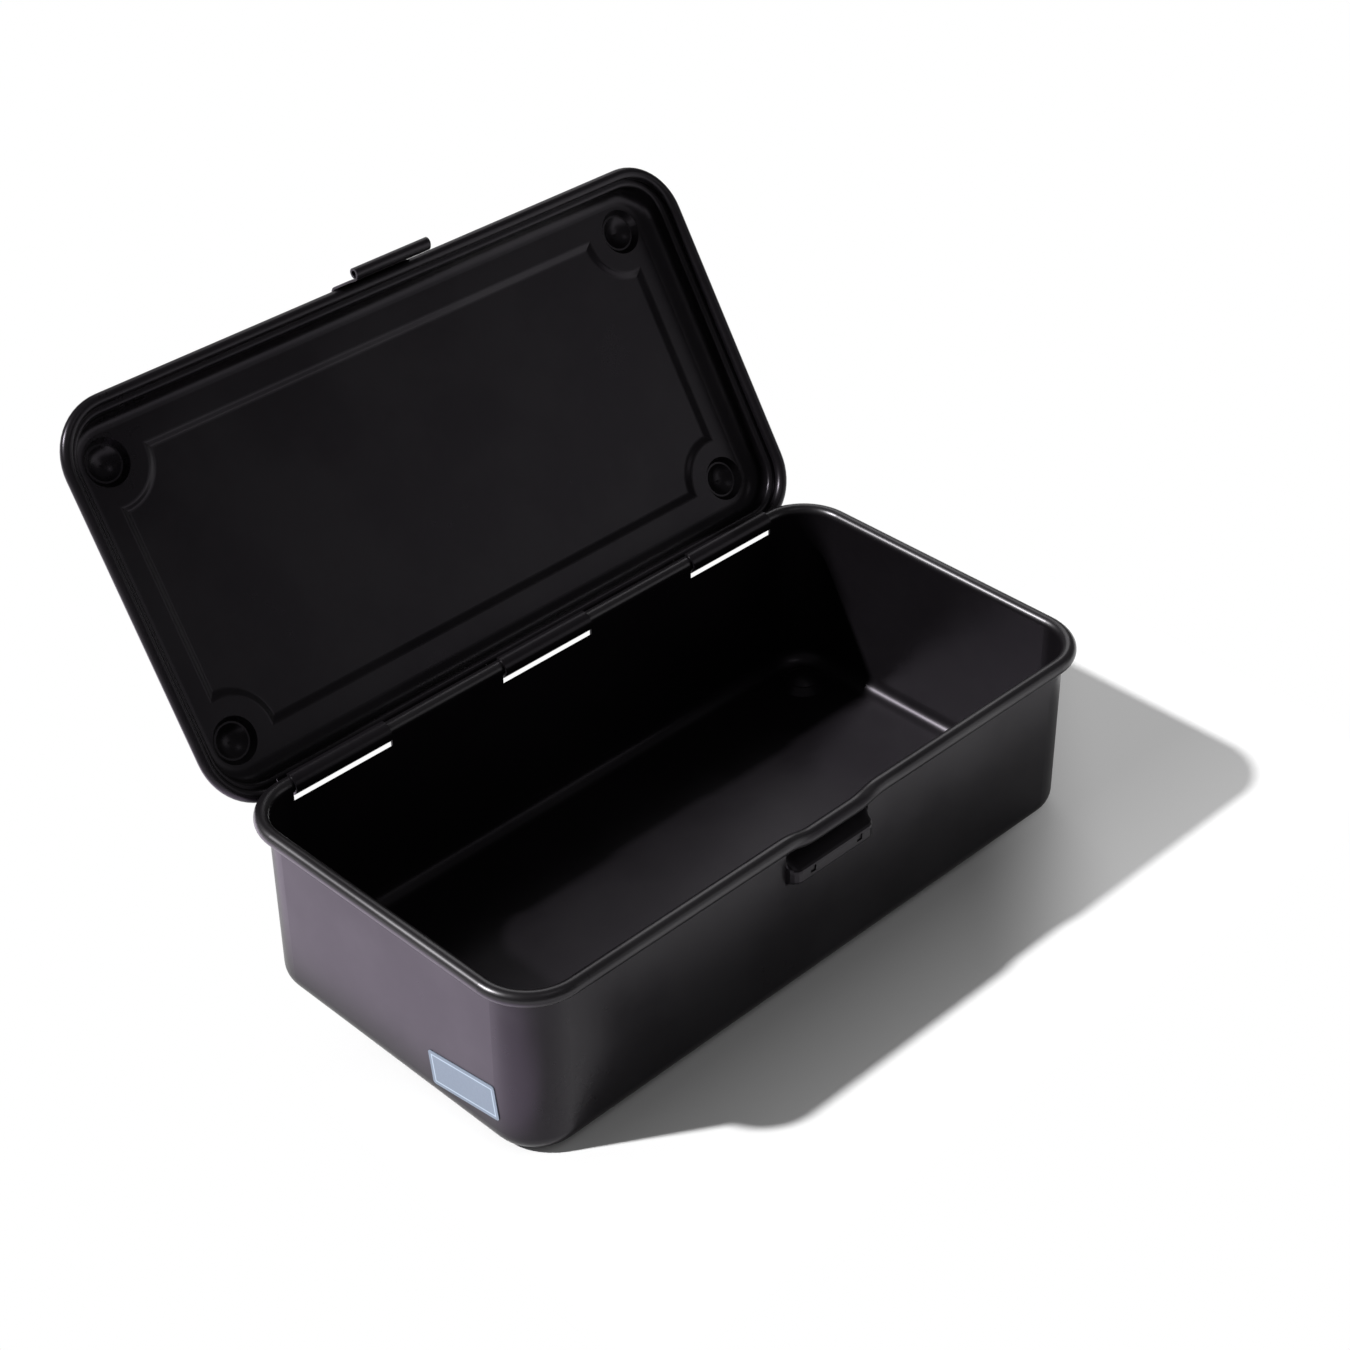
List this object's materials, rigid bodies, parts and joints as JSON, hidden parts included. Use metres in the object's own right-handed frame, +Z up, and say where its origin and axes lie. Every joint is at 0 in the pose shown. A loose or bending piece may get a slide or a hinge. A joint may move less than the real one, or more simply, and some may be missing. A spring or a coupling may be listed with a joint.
{
  "type": "hinged sheet steel storage box",
  "caption": "Small pressed steel box: rectangular tray with rolled rim, lid hinged on the rear rim by wrapped tabs, clasp tongue at the front.",
  "frame": {"origin": "on the table, under the middle of the tray", "axes": "+X along the length, left to right seen from the front; +Y to the hinge at the rear; +Z up"},
  "size_m": [0.2018, 0.1659, 0.1441],
  "materials": {
    "tray": "satin black paint",
    "lid": "satin black paint",
    "clasp_tongue": "satin black paint",
    "label": "smooth blue-grey film"
  },
  "bodies": {
    "tray": {"tray": "tray", "label": "label"},
    "lid": {"lid": "lid", "clasp_tongue": "clasp_tongue"}
  },
  "joints": [
    {"name": "lid_hinge", "type": "hinge", "parent": "tray", "child": "lid", "pos_m": [0, 0.0508, 0.0498], "axis": [1, 0, 0], "range_deg": [0, 122.6]}
  ]
}
